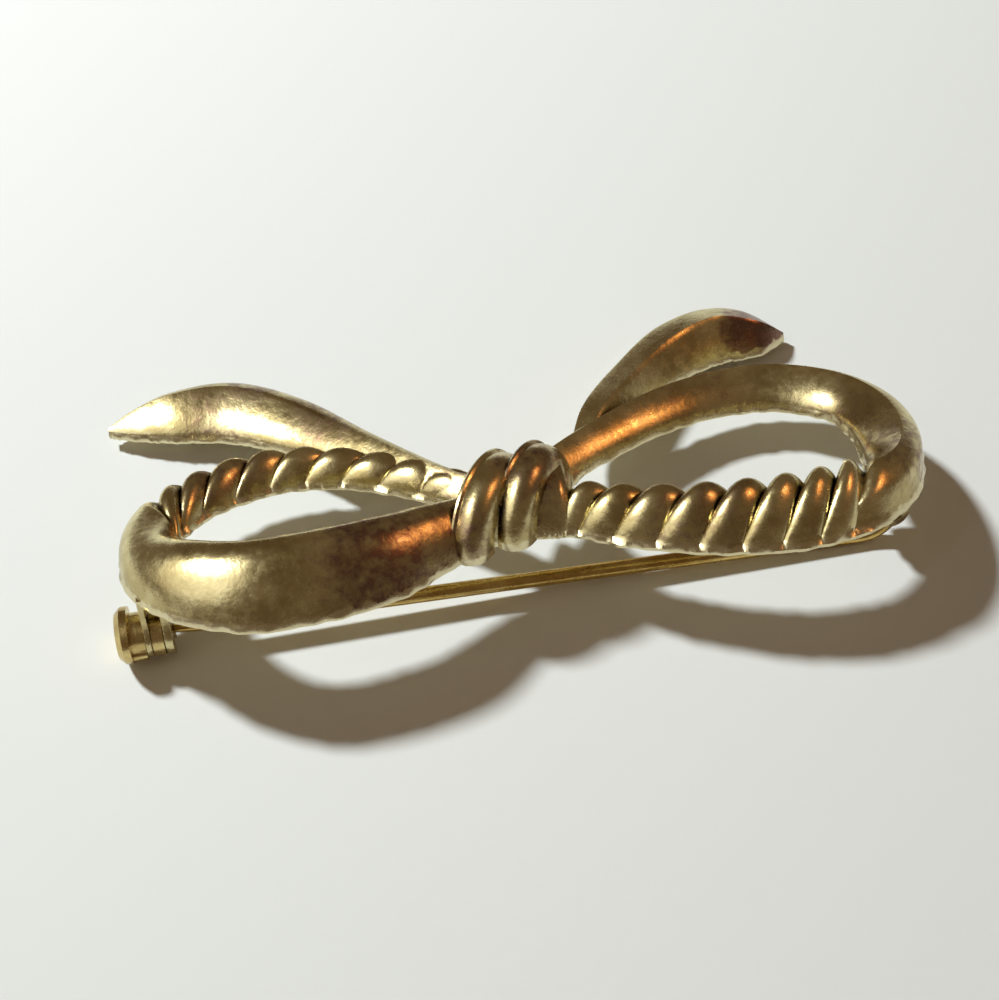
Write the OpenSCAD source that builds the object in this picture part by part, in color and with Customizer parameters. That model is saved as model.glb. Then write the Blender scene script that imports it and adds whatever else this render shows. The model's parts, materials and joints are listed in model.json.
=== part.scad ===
// Bow brooch: a cast ribbon bow with a pin stem, a hinge and a turning safety catch behind it.
// The bow is drawn face up on its own flat back (the plane z = 0, tails towards +y) and the whole
// brooch is then tipped onto the three places it rests on.

/* [Bow] */
// Width of the bow across its two loops
bow_span = 51.6; // [40:0.1:64]
// Depth of the bow from its front edge to the points of its tails
bow_depth = 24.6; // [18:0.1:32]
// Width of the fullest band
band_w = 4; // [3:0.1:5]
// Height of the fullest band
band_h = 5.4; // [4.5:0.1:6.5]
// Height of the upright edge under the rounded top
land_h = 0.45; // [0.2:0.05:0.8]
// Fullness of the rounded top, 1 for a half ellipse
roundness = 0.9; // [0.7:0.05:1.1]

/* [Twisted rope] */
// Number of strands along the rope of the left loop
left_lobes = 10; // [7:1:13]
// Number of strands along the rope of the right loop
right_lobes = 10; // [7:1:13]
// Depth of the grooves as a share of the band
groove = 0.24; // [0.1:0.02:0.32]
// How far a groove runs along the band from one edge to the other
groove_lean = 3.8; // [1:0.1:4.2]

/* [Knot] */
// Width of one turn of the knot
wrap_w = 2.5; // [2:0.1:3]
// Height of the left turn above the back
left_turn_h = 4.1; // [3.7:0.1:5]
// Height of the right turn above the back
right_turn_h = 4.4; // [3.7:0.1:5]
// Depth of the left turn from front to back
left_turn_l = 8; // [6.5:0.1:8.5]
// Depth of the right turn from front to back
right_turn_l = 6.6; // [5.5:0.1:8]
// Place of the middle of the knot along the span
knot_x = -0.45; // [-1:0.05:1]
// Place of the middle of the knot towards the tails
knot_y = 0.7; // [0:0.1:1.5]
// Angle of the left turn to the front-to-back line
left_slant = 40; // [15:1:42]
// Angle of the right turn to the front-to-back line
right_slant = 38; // [15:1:42]

/* [Pin and hinge] */
// Diameter of the pin wire
wire_d = 1; // [0.8:0.05:1.2]
// Distance of the pin line in front of the middle of the loops
pin_front = 1.4; // [1:0.1:2]
// Angle of the pin line to the width of the bow
pin_turn = -1; // [-2:0.5:2]
// Depth of the hinge pivot below the back
pivot_drop = 1.6; // [1.6:0.1:2.2]
// Distance of the straight wire from the pivot
wire_drop = 2.7; // [2.5:0.1:3]
// Radius of the bend that takes the wire up to its eye
bend_r = 2.3; // [2.1:0.1:2.5]
// Outer diameter of the eye at the end of the pin
eye_d = 2.7; // [2.6:0.1:2.9]
// Diameter of the hinge rivet
rivet_d = 1; // [0.8:0.05:1.1]
// Diameter of the rivet's heads
head_d = 1.4; // [1.3:0.05:1.5]
// Thickness of the rivet's heads
head_t = 0.2; // [0.1:0.05:0.3]
// Diameter of a hinge ear
ear_d = 2.3; // [2.2:0.1:2.8]
// Thickness of a hinge ear
ear_t = 0.7; // [0.6:0.05:0.9]
// Length of the tapered point of the pin
point_l = 4.5; // [3:0.5:8]
// Diameter of the blunt end of the point
tip_d = 0.2; // [0.1:0.05:0.3]

/* [Catch] */
// Outer diameter of the catch plates
catch_d = 3.1; // [3:0.1:3.6]
// Depth of the catch centre below the back
catch_drop = 3.3; // [3:0.05:3.6]
// Thickness of the inner catch plate
plate_t = 0.5; // [0.4:0.05:0.8]
// Thickness of the outer catch plate
outer_t = 0.35; // [0.3:0.05:0.5]
// Thickness of the disc that turns between the plates
disc_t = 0.7; // [0.5:0.05:0.8]
// Diameter of the hub that turns in the plates
hub_d = 2.2; // [2.1:0.05:2.3]
// Diameter of the neck between the outer plate and the thumb lever
lever_neck_d = 2.7; // [2.4:0.1:3]
// Length of that neck
lever_neck_l = 0.9; // [0.6:0.1:1.2]
// Thickness of the round thumb lever
lever_t = 0.8; // [0.7:0.05:1.2]
// Bevel round the outer face of the lever
lever_bevel = 0.35; // [0.1:0.05:0.5]
// Diameter of the thumb lever
lever_d = 3.6; // [3.4:0.1:4]
// Distance of the lever's tab from the catch centre
tab_reach = 1.15; // [1:0.05:1.2]
// Width of the lever's tab
tab_w = 1.1; // [0.9:0.1:1.3]

/* [Fits] */
// Clearance round a turning part
running_gap = 0.05; // [0.03:0.01:0.06]
// Clearance at the sides of a turning part
side_gap = 0.06; // [0.05:0.01:0.1]
// Clearance round the wire in the slot of the catch
slot_gap = 0.1; // [0.08:0.01:0.14]
// Clearance round the rivet in the ears
rivet_gap = 0.03; // [0.02:0.01:0.04]
// Depth of the solder joint between the fittings and the bow's back
solder_t = 0.4; // [0.2:0.05:0.5]

/* [Hidden] */
$fn = 48;
half_span = bow_span / 2;
// The hinge and the catch stand under the ends of the loops
hinge_x = 0.884 * half_span;
catch_x = -0.913 * half_span;
eye_w = wire_d + 0.1;
ear_y = eye_w / 2 + side_gap + ear_t / 2;
ears_w = 2 * ear_y + ear_t;
recess_t = 1;
slot_w = wire_d + 2 * slot_gap;
neck_w = 0.8 * catch_d;
// Along the pin line from the middle of the turning disc: the plates' far faces and the lever
inner_l = disc_t / 2 + side_gap + plate_t;
outer_l = disc_t / 2 + side_gap + outer_t;
lever_l = outer_l + side_gap + lever_neck_l + lever_t;
// The bend turns the wire through this angle, and its centre lies level with the lower half of the eye
bend_turn = 65;
bend_x = 0.67 * bend_r;
// The wire runs straight from the bend through the middle of the catch and ends in the outer plate
pivot_to_catch = norm([hinge_x - catch_x, pivot_drop - catch_drop]);
stem_tilt = asin(wire_drop / pivot_to_catch) + atan2(pivot_drop - catch_drop, hinge_x - catch_x);
stem_l = sqrt(pow(pivot_to_catch, 2) - pow(wire_drop, 2)) + outer_l - bend_x;
// Columns of the tables: place along the span and the depth, width and height of the band.
X = 0;
Y = 1;
W = 2;
H = 3;
// Each loop runs from the knot along its smooth band, round its end and back along its rope.
// Shares of half_span, bow_depth, band_w and band_h.
LEFT_LOOP = [
    [-0.012, -0.009, 0.44, 0.60],
    [-0.124, -0.043, 0.52, 0.65],
    [-0.248, -0.099, 0.70, 0.80],
    [-0.364, -0.153, 0.83, 0.94],
    [-0.516, -0.180, 0.86, 1.00],
    [-0.667, -0.179, 0.87, 1.00],
    [-0.797, -0.119, 0.89, 0.90],
    [-0.882, -0.024, 0.97, 0.70],
    [-0.901, 0.077, 0.95, 0.59],
    [-0.868, 0.171, 0.73, 0.53],
    [-0.771, 0.246, 0.56, 0.54],
    [-0.620, 0.294, 0.48, 0.54],
    [-0.465, 0.288, 0.46, 0.49],
    [-0.310, 0.230, 0.48, 0.45],
    [-0.167, 0.136, 0.48, 0.46],
    [-0.047, 0.057, 0.42, 0.49]
];
RIGHT_LOOP = [
    [0.012, 0.066, 0.39, 0.49],
    [0.167, 0.178, 0.41, 0.50],
    [0.355, 0.278, 0.45, 0.53],
    [0.523, 0.326, 0.46, 0.55],
    [0.694, 0.322, 0.50, 0.57],
    [0.843, 0.254, 0.64, 0.55],
    [0.917, 0.145, 0.87, 0.54],
    [0.924, 0.012, 0.94, 0.58],
    [0.876, -0.114, 0.83, 0.71],
    [0.764, -0.194, 0.75, 0.85],
    [0.605, -0.215, 0.74, 0.88],
    [0.426, -0.186, 0.69, 0.82],
    [0.244, -0.118, 0.64, 0.71],
    [0.105, -0.045, 0.56, 0.64],
    [0.008, -0.015, 0.50, 0.61]
];
LEFT_TAIL = [
    [-0.016, 0.011, 0.40, 0.41],
    [-0.172, 0.134, 0.43, 0.43],
    [-0.349, 0.312, 0.60, 0.47],
    [-0.516, 0.483, 0.84, 0.54],
    [-0.667, 0.574, 0.86, 0.63],
    [-0.818, 0.599, 0.66, 0.57],
    [-0.922, 0.611, 0.37, 0.37],
    [-0.996, 0.620, 0.05, 0.13]
];
RIGHT_TAIL = [
    [0.023, 0.029, 0.45, 0.44],
    [0.163, 0.161, 0.51, 0.45],
    [0.250, 0.307, 0.64, 0.47],
    [0.372, 0.444, 0.75, 0.52],
    [0.498, 0.550, 0.84, 0.60],
    [0.620, 0.589, 0.77, 0.66],
    [0.733, 0.582, 0.56, 0.49],
    [0.814, 0.591, 0.05, 0.13]
];
CORE = [
    [-0.105, 0.012, 0.60, 0.42],
    [-0.050, 0.018, 0.95, 0.58],
    [0.039, 0.026, 1.00, 0.61],
    [0.140, 0.032, 0.75, 0.48]
];
SIZES = [half_span, bow_depth, band_w, band_h];
// Share of a loop's table at which its smooth band ends and its rope starts
LEFT_CUT = 0.56;
RIGHT_CUT = 0.63;
// Steps along a smooth band, along a tail, along one strand of the rope, and across the rounded top
SMOOTH_STEPS = 26;
TAIL_STEPS = 20;
LOBE_STEPS = 8;
TOP_STEPS = 10;

function unit(v) = v / norm(v);
function times(a, b) = [for (i = [0 : len(a) - 1]) a[i] * b[i]];
function ease(t) = let (u = min(max(t, 0), 1)) u * u * (3 - 2 * u);

// A smooth curve through the rows of a table, at t from 0 to 1, in millimetres
function row_at(rows, t) =
    let (
        n = len(rows) - 1,
        u = min(max(t, 0), 1) * n,
        i = min(floor(u), n - 1),
        f = u - i,
        a = rows[max(i - 1, 0)],
        b = rows[i],
        c = rows[i + 1],
        d = rows[min(i + 2, n)]
    )
    times(SIZES, 0.5 * (2 * b + (c - a) * f + (2 * a - 5 * b + 4 * c - d) * f * f
        + (3 * b - a - 3 * c + d) * f * f * f));

// One section: across from -1 to 1 and up from 0 to 1 over the rounded top, with 0 and -1 for the edge
function top_point(i) =
    let (angle = 180 * (1 - i / TOP_STEPS))
    [sign(cos(angle)) * pow(abs(cos(angle)), roundness), pow(sin(angle), roundness)];
SECTION = concat([[1, -1]], [for (i = [TOP_STEPS : -1 : 0]) top_point(i)], [[-1, -1]]);

// The way along a band at t: its length is the distance in millimetres per step of t
function along_at(rows, t) = (row_at(rows, t + 0.004) - row_at(rows, t - 0.004)) / 0.008;

// How deep the surface lies in a groove: 1 at the bottom of a groove, 0 on a strand's crest
function seam_dip(t, cut) = pow(min(max(0, 1 - (cut - t) * 40), 1), 2);
function strand_dip(t, cut, lobes) = 1 - pow(abs(sin(180 * lobes * max(t - cut, 0) / (1 - cut))), 0.75);

// How much of the grooves' lean the band has at t
function lean_at(t, cut) = ease((t - cut + 0.09) / 0.09) * ease((1 - t) / 0.04);

// One ring of points across a band at t. A leaning ring takes its outer side further along the band.
function band_ring(rows, t, depth = 0, lean = 0) =
    let (
        dip = groove * depth,
        run = lean * groove_lean / band_w * row_at(rows, t)[W] / norm(along_at(rows, t)) / 2
    )
    [for (s = SECTION)
        let (
            place = t + s.x * run,
            r = row_at(rows, place),
            ahead = along_at(rows, place),
            along = unit([ahead[X], ahead[Y]]),
            full = s.y < 0 ? 1 - dip / 3 : 1 - dip * (0.35 + 0.65 * s.y),
            across = s.x * r[W] / 2 * full,
            up = s.y < 0 ? 0 : land_h + (r[H] - land_h) * s.y * (1 - dip)
        )
        [r[X] - across * along.y, r[Y] + across * along.x, up]];

// Joins rings of points into a closed skin
module skin(rings) {
    m = len(rings[0]);
    n = len(rings);
    polyhedron(
        points = [for (ring = rings) each ring],
        faces = concat(
            [[for (j = [0 : m - 1]) j]],
            [for (i = [0 : n - 2], j = [0 : m - 1])
                let (k = (j + 1) % m, here = i * m, next = here + m)
                each [[here + j, next + j, next + k], [here + j, next + k, here + k]]],
            [[for (j = [m - 1 : -1 : 0]) (n - 1) * m + j]]
        )
    );
}

// The smooth band and the rope run a little way into each other at the seam
module loop(rows, cut, lobes) {
    rope_steps = lobes * LOBE_STEPS;
    last = cut - 0.014;
    smooth = concat([for (i = [0 : SMOOTH_STEPS]) last * i / SMOOTH_STEPS], [cut - 0.007, cut + 0.003]);
    rope = concat([cut - 0.004], [for (i = [1 : rope_steps]) cut + (1 - cut) * i / rope_steps]);
    skin([for (t = smooth) band_ring(rows, t, seam_dip(t, cut), lean_at(t, cut))]);
    skin([for (t = rope) band_ring(rows, t, strand_dip(t, cut, lobes), lean_at(t, cut))]);
}

module tail(rows) {
    skin([for (i = [0 : TAIL_STEPS]) band_ring(rows, i / TAIL_STEPS)]);
}

// One turn of the knot: an arch over the bands, with its feet on the back
module turn(place, slant, depth, height) {
    steps = 18;
    reach = depth / 2 / cos(slant);
    crown = wrap_w * 0.42;
    along = [sin(slant), cos(slant)];
    side = [cos(slant), -sin(slant)];
    arch = [for (i = [0 : steps]) 180 - 180 * i / steps];
    ring = [[-1, -0.9], [-1, -0.1], [-0.9, 0.35], [-0.65, 0.7], [-0.3, 0.93], [0, 1],
        [0.3, 0.93], [0.65, 0.7], [0.9, 0.35], [1, -0.1], [1, -0.9]];
    skin([for (a = arch)
        [for (q = ring)
            let (
                run = (reach - crown + crown * q.y) * cos(a),
                rise = (height - crown + crown * q.y) * sin(a),
                p = [place, knot_y] + along * run + side * q.x * wrap_w / 2
            )
            [p.x, p.y, rise]]]);
}

module casting() {
    loop(LEFT_LOOP, LEFT_CUT, left_lobes);
    loop(RIGHT_LOOP, RIGHT_CUT, right_lobes);
    tail(LEFT_TAIL);
    tail(RIGHT_TAIL);
    tail(CORE);
    turn(knot_x - wrap_w / 2, left_slant, left_turn_l, left_turn_h);
    turn(knot_x + wrap_w / 2, right_slant, right_turn_l, right_turn_h);
}

// The pin line: the hinge and the catch stand on it, under the ends of the two loops
module on_pin_line() {
    translate([0, -pin_front, 0]) rotate([0, 0, pin_turn]) children();
}

// A flat shape drawn in x and z, made t thick along y
module across(t) {
    rotate([90, 0, 0]) linear_extrude(t, center = true) children();
}

// A flat shape drawn in y and z, made t thick along x from x = 0
module lengthwise(t) {
    rotate([90, 0, 90]) linear_extrude(t) children();
}

module ear() {
    across(ear_t) {
        translate([0, -pivot_drop]) circle(d = ear_d);
        translate([-ear_d / 2, -pivot_drop]) square([ear_d, pivot_drop + solder_t]);
    }
}

module hinge_joint() {
    difference() {
        for (side = [-1, 1]) translate([hinge_x, side * ear_y, 0]) ear();
        translate([hinge_x, 0, -pivot_drop]) rotate([90, 0, 0]) {
            cylinder(d = rivet_d + 2 * rivet_gap, h = 2 * ears_w, center = true);
            for (side = [-1, 1]) translate([0, 0, side * (ears_w / 2 + recess_t / 2 - head_t - rivet_gap)])
                cylinder(d = head_d + 4 * rivet_gap, h = recess_t, center = true);
        }
    }
}

module catch_plate(t) {
    lengthwise(t) difference() {
        union() {
            translate([0, -catch_drop]) circle(d = catch_d);
            translate([-neck_w / 2, -catch_drop]) square([neck_w, catch_drop + solder_t]);
        }
        translate([0, -catch_drop]) circle(d = hub_d + 2 * running_gap);
        translate([-slot_w / 2, -catch_drop - catch_d]) square([slot_w, catch_d]);
    }
}

module catch_housing() {
    translate([catch_x, 0, 0]) {
        translate([disc_t / 2 + side_gap, 0, 0]) catch_plate(plate_t);
        translate([-outer_l, 0, 0]) catch_plate(outer_t);
        translate([-outer_l, -neck_w / 2, -solder_t]) cube([outer_l + inner_l, neck_w, 2 * solder_t]);
    }
}

module bow() {
    color("#8f7a45") resting() {
        casting();
        on_pin_line() {
            hinge_joint();
            catch_housing();
        }
    }
}

module hinge_rivet() {
    color("#7a6232") resting() on_pin_line() translate([hinge_x, 0, -pivot_drop]) rotate([90, 0, 0]) {
        cylinder(d = rivet_d, h = ears_w - 0.5 * head_t, center = true);
        for (side = [-1, 1]) translate([0, 0, side * (ears_w - head_t) / 2])
            cylinder(d = head_d, h = head_t, center = true);
    }
}

module pin_stem() {
    color("#a08040") resting() on_pin_line() translate([hinge_x, 0, -pivot_drop]) rotate([0, stem_tilt, 0])
        difference() {
            union() {
                rotate([90, 0, 0]) cylinder(d = eye_d, h = eye_w, center = true);
                translate([-bend_x, 0, bend_r - wire_drop]) rotate([90, 0, 0]) rotate([0, 0, -90])
                    rotate_extrude(angle = bend_turn) translate([bend_r, 0]) circle(d = wire_d);
                translate([-bend_x, 0, -wire_drop]) rotate([0, -90, 0]) {
                    cylinder(d = wire_d, h = stem_l - point_l);
                    translate([0, 0, stem_l - point_l]) cylinder(d1 = wire_d, d2 = tip_d, h = point_l);
                }
            }
            rotate([90, 0, 0]) cylinder(d = rivet_d + 2 * running_gap, h = 2 * eye_w, center = true);
        }
}

// The disc and the hub are slotted for the pin, and the lever's tab points forwards while the slot is open.
module catch_roller() {
    hub_start = lever_t - lever_l;
    slot_start = -outer_l - side_gap;
    slot_l = 2 * inner_l + outer_l;
    grip_l = lever_neck_l + lever_t - lever_bevel;
    color("#a8883e") resting() on_pin_line() translate([catch_x, 0, -catch_drop]) {
        difference() {
            union() {
                translate([-disc_t / 2, 0, 0]) lengthwise(disc_t) circle(d = catch_d);
                translate([hub_start, 0, 0]) lengthwise(inner_l - hub_start) circle(d = hub_d);
            }
            translate([slot_start, 0, 0]) rotate([0, 90, 0]) cylinder(d = slot_w, h = slot_l);
            translate([slot_start, -slot_w / 2, -catch_d]) cube([slot_l, slot_w, catch_d]);
        }
        translate([-lever_l, 0, 0]) lengthwise(lever_neck_l + lever_t) circle(d = lever_neck_d);
        translate([-lever_l, 0, 0]) rotate([0, 90, 0]) {
            translate([0, 0, lever_bevel]) cylinder(d = lever_d, h = lever_t - lever_bevel);
            cylinder(d1 = lever_d - 2 * lever_bevel, d2 = lever_d, h = lever_bevel);
        }
        translate([lever_bevel - lever_l, 0, 0]) lengthwise(grip_l) rotate(225) {
            translate([0, -tab_w / 2]) square([tab_reach, tab_w]);
            translate([tab_reach, 0]) circle(d = tab_w);
        }
    }
}

// The brooch rests on three feet: the thumb lever, the bend of the pin and the back edge of a tail
function pin_point(x, y, z) =
    [x * cos(pin_turn) - y * sin(pin_turn), x * sin(pin_turn) + y * cos(pin_turn) - pin_front, z];
function lever_rim(along, towards) =
    pin_point(catch_x - lever_l + along, 0, -catch_drop) + lever_d / 2 * unit([0, towards.y, towards.z]);
function catch_foot(n) = lever_rim(lever_bevel, -n);
function bend_foot(n) =
    pin_point(hinge_x - bend_x * cos(stem_tilt) - wire_drop * sin(stem_tilt), 0,
        -pivot_drop + bend_x * sin(stem_tilt) - wire_drop * cos(stem_tilt)) - wire_d / 2 * n;
function tail_foot(n) =
    let (heights = [for (p = tail_edges) p * n])
    tail_edges[search(min(heights), heights)[0]];
function table_normal(n, times_left) =
    times_left == 0 ? n
        : let (a = catch_foot(n), b = bend_foot(n), c = tail_foot(n))
          table_normal(unit(cross(b - a, c - a)), times_left - 1);
function turned(p) =
    let (q = [p.x, p.y * cos(tip) - p.z * sin(tip), p.y * sin(tip) + p.z * cos(tip)])
    [q.x * cos(roll) + q.z * sin(roll), q.y, q.z * cos(roll) - q.x * sin(roll)];
// How the brooch lies: the table under its feet, the turns that level it, and the middle of its outline
tail_edges = [for (rows = [LEFT_TAIL, RIGHT_TAIL], i = [0 : TAIL_STEPS])
    let (ring = band_ring(rows, i / TAIL_STEPS))
    each [ring[0], ring[len(ring) - 1]]];
normal = table_normal([0, 0, 1], 5);
tip = atan2(normal.y, normal.z);
roll = -atan2(normal.x, norm([normal.y, normal.z]));
outline = [for (row = [LEFT_LOOP, RIGHT_LOOP], i = [0 : 200]) each band_ring(row, i / 200)];
tails = [for (row = [LEFT_TAIL, RIGHT_TAIL], i = [0 : TAIL_STEPS]) each band_ring(row, i / TAIL_STEPS)];
lever_end = [for (a = [0 : 30 : 330]) lever_rim(0, [0, cos(a), sin(a)])];
flat_xy = [for (p = concat(outline, tails, lever_end)) turned(p)];
xs = [for (p = flat_xy) p.x];
ys = [for (p = flat_xy) p.y];
middle = [(min(xs) + max(xs)) / 2, (min(ys) + max(ys)) / 2];

module resting() {
    translate([-middle.x, -middle.y, -turned(tail_foot(normal)).z]) rotate([tip, roll, 0]) children();
}

bow();
hinge_rivet();
pin_stem();
catch_roller();
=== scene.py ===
# %% [markdown]
# A cast bow brooch lies on its back on a plain floor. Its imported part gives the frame: where the hinge
# and the catch are, how big the whole is and how it lies. The visual model could be built from
# measurements alone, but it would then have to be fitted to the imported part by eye. Here its place and
# its tilt are worked out from the frame, so it fits by itself.

# %% Load the frame
import json
import math

import bpy
import numpy as np
from mathutils import Matrix, Vector
from mathutils.bvhtree import BVHTree


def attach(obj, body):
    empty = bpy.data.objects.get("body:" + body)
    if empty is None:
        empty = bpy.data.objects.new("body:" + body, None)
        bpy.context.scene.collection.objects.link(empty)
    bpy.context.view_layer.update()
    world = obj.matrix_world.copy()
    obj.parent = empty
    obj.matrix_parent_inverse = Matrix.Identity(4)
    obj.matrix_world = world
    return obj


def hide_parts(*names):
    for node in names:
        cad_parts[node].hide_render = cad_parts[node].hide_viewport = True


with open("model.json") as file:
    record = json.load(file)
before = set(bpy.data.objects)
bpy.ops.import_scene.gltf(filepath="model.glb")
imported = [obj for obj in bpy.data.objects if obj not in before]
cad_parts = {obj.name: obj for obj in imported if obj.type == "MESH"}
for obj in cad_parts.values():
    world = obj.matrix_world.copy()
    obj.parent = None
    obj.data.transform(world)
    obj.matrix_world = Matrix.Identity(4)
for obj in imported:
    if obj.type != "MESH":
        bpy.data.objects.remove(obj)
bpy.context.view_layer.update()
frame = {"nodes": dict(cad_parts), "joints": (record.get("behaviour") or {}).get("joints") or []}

MM = 0.001
scene = bpy.context.scene
nodes = frame["nodes"]
joints = {joint["name"]: joint for joint in frame["joints"]}

# %% [markdown]
# The bow was cast lying on its flat back. Its own frame has z up from that back, x along its width and y
# towards the tails, and every table below is written in it, in millimetres. The way from that frame to
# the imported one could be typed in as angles. It is worked out from the joints instead: the catch's axis
# runs along the pin, the hinge's axis runs across it, and the hinge's place fixes the rest. The main sizes
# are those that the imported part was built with.

# %% The bow's own frame
HALF_SPAN, DEPTH, BAND_W, BAND_H = 25.8, 24.6, 4.0, 5.4
PIN_FRONT = 1.4
PIN_TURN = math.radians(-1)
PIVOT_DROP, CATCH_DROP = 1.6, 3.3
HINGE_X, CATCH_X = 0.884 * HALF_SPAN, -0.913 * HALF_SPAN

along_pin = Vector(joints["catch_turn"]["axis"])
behind_pin = -Vector(joints["pin_hinge"]["axis"])
pin_axes = Matrix((along_pin, behind_pin, along_pin.cross(behind_pin))).transposed()
bow_axes = pin_axes @ Matrix.Rotation(-PIN_TURN, 3, "Z")
PIN_START = Matrix.Translation((0, -PIN_FRONT * MM, 0)) @ Matrix.Rotation(PIN_TURN, 4, "Z")
pivot = PIN_START @ Vector((HINGE_X * MM, 0, -PIVOT_DROP * MM))
LIE = Matrix.Translation(Vector(joints["pin_hinge"]["pos_m"]) - bow_axes @ pivot) @ bow_axes.to_4x4()
print("the back is tipped by", round(math.degrees(math.acos(LIE.to_3x3().col[2].z)), 2), "degrees")

# %% [markdown]
# The photo was taken from the front, about 55 degrees above the floor and slightly rolled. The camera
# could be turned by hand until it looks right. Here its way of looking is built from three angles, which
# come from a fit to the photo, because each can then be changed by itself. The lens is an assumed one,
# and the distance gives the bow its size in the picture.

# %% Camera
VIEW_ELEVATION, VIEW_HEADING, VIEW_ROLL = 55.20, 8.96, -2.10
VIEW_DISTANCE, LENS, FILM_WIDTH = 118.777 * MM, 64.86, 36
AIM = Vector((-0.730, 0.184, 0)) * MM
NEAREST = 5 * MM


def way_to(azimuth, height):
    """The direction at an azimuth, from +Y towards +X, and a height above the floor, in degrees."""
    a, e = math.radians(azimuth), math.radians(height)
    return Vector((math.sin(a) * math.cos(e), math.cos(a) * math.cos(e), math.sin(e)))


bpy.ops.object.select_all(action="DESELECT")
bpy.ops.object.camera_add()
camera = bpy.context.object
camera.name = "camera"
camera.data.lens = LENS
camera.data.sensor_width = FILM_WIDTH
camera.data.clip_start = NEAREST
looking = way_to(VIEW_HEADING, -VIEW_ELEVATION)
turn = looking.to_track_quat("-Z", "Y").to_matrix() @ Matrix.Rotation(math.radians(VIEW_ROLL), 3, "Z")
camera.matrix_world = Matrix.Translation(AIM - looking * VIEW_DISTANCE) @ turn.to_4x4()
scene.camera = camera
print("the camera stands", round(camera.location.z / MM, 1), "mm above the floor")

# %% [markdown]
# The light that throws the shadow comes from behind on the left. The polished metal shows a bright window
# on the left with a pale curtain round it, and a small warm lamp in its shade on the right. One lamp
# could give both the shadow and its own highlight, but then neither can be moved without the other. So
# the key light is kept out of the reflections, and the other four are seen in the metal alone.

# %% Soft boxes
scene.view_settings.view_transform = "Standard"
SHADOW, REFLECTION = "shadow", "reflection"
DAYLIGHT = (1.0, 1.0, 0.95)
# Name, azimuth and height in degrees, distance and width in metres, power in watts, colour and purpose
SOFT_BOXES = (
    ("key_light", -42, 44, 0.45, 0.05, 2.2, (0.96, 1.03, 1.04), SHADOW),
    ("window", -100, 50, 0.45, 0.07, 1.3, DAYLIGHT, REFLECTION),
    ("curtain", -108, 38, 0.45, 0.46, 0.62, DAYLIGHT, REFLECTION),
    ("warm_lamp", 110, 42, 0.5, 0.03, 0.07, (1.0, 0.62, 0.30), REFLECTION),
    ("warm_shade", 108, 40, 0.5, 0.22, 0.18, (1.0, 0.34, 0.10), REFLECTION),
)


def soft_box(name, azimuth, height, distance, width, power, colour, purpose):
    """A round soft box that looks at the middle of the floor."""
    way = way_to(azimuth, height)
    bpy.ops.object.light_add(type="AREA", location=way * distance)
    lamp = bpy.context.object
    lamp.name = name
    lamp.rotation_euler = (-way).to_track_quat("-Z", "Y").to_euler()
    lamp.data.shape = "DISK"
    lamp.data.size = width
    lamp.data.energy = power
    lamp.data.color = colour
    lamp.visible_glossy = purpose == REFLECTION
    lamp.visible_diffuse = purpose == SHADOW
    return lamp


for row in SOFT_BOXES:
    print("light", soft_box(*row).name)

# %% [markdown]
# What the lamps leave dark is filled by the room. A white room would turn the metal's shaded sides grey.
# A dim, warm one keeps them brown, as old gold is in a room with wooden things in it. The floor is one
# plane.

# %% Room and floor
ROOM_COLOUR, ROOM_LIGHT = (1.0, 0.70, 0.44, 1), 0.15
FLOOR_WIDTH = 0.9

room = bpy.data.worlds.new("room")
scene.world = room
room.use_nodes = True
background = room.node_tree.nodes["Background"]
background.inputs["Color"].default_value = ROOM_COLOUR
background.inputs["Strength"].default_value = ROOM_LIGHT

bpy.ops.mesh.primitive_plane_add(size=FLOOR_WIDTH)
floor = bpy.context.object
floor.name = "plain_floor"
print("floor", FLOOR_WIDTH, "m wide")

# %% [markdown]
# A material is a small tree of nodes. It could be built with a line for every node, socket and link. One
# small function that adds a node with all three reads better. Another turns sRGB hex values, as a paint
# chart gives them, into the linear values that the shader wants.


# %% Material helpers
def linear(hex_colour):
    """The linear colour of an sRGB hex value."""
    parts = [int(hex_colour[i : i + 2], 16) / 255 for i in (1, 3, 5)]
    return [c / 12.92 if c <= 0.04045 else ((c + 0.055) / 1.055) ** 2.4 for c in parts] + [1.0]


def add(tree, kind, links=None, values=None, **settings):
    """Adds a node, with its settings, its sockets' values and the links that feed it."""
    made = tree.nodes.new(kind)
    for setting, value in settings.items():
        setattr(made, setting, value)
    for socket, value in (values or {}).items():
        made.inputs[socket].default_value = value
    for socket, source in (links or {}).items():
        tree.links.new(source, made.inputs[socket])
    return made


def new_material(name):
    """A new material, its tree, its shader and its Object coordinates."""
    material = bpy.data.materials.new(name)
    material.use_nodes = True
    tree = material.node_tree
    coords = add(tree, "ShaderNodeTexCoord").outputs["Object"]
    return material, tree, tree.nodes["Principled BSDF"], coords


print("white is", linear("#FFFFFF"))

# %% [markdown]
# The floor is a matt pale board. A smooth plane of one colour would do, but it looks like an empty
# backdrop. This one has hardly any gloss, so it takes a clean soft shadow, and a low bump about a
# millimetre wide gives it a surface.

# %% The floor's finish
FLOOR_GRAIN = 1.2 * MM

board, tree, shader, coords = new_material("matt_pale_board")
shader.inputs["Base Color"].default_value = linear("#F0F1EF")
shader.inputs["Roughness"].default_value = 0.9
grain = add(tree, "ShaderNodeTexNoise", {"Vector": coords}, {"Scale": 1 / FLOOR_GRAIN, "Detail": 4})
low_bump = {"Strength": 0.12, "Distance": 0.1 * MM}
bump = add(tree, "ShaderNodeBump", {"Height": grain.outputs["Fac"]}, low_bump)
tree.links.new(bump.outputs["Normal"], shader.inputs["Normal"])
floor.data.materials.append(board)
print("floor finish", board.name)

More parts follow.
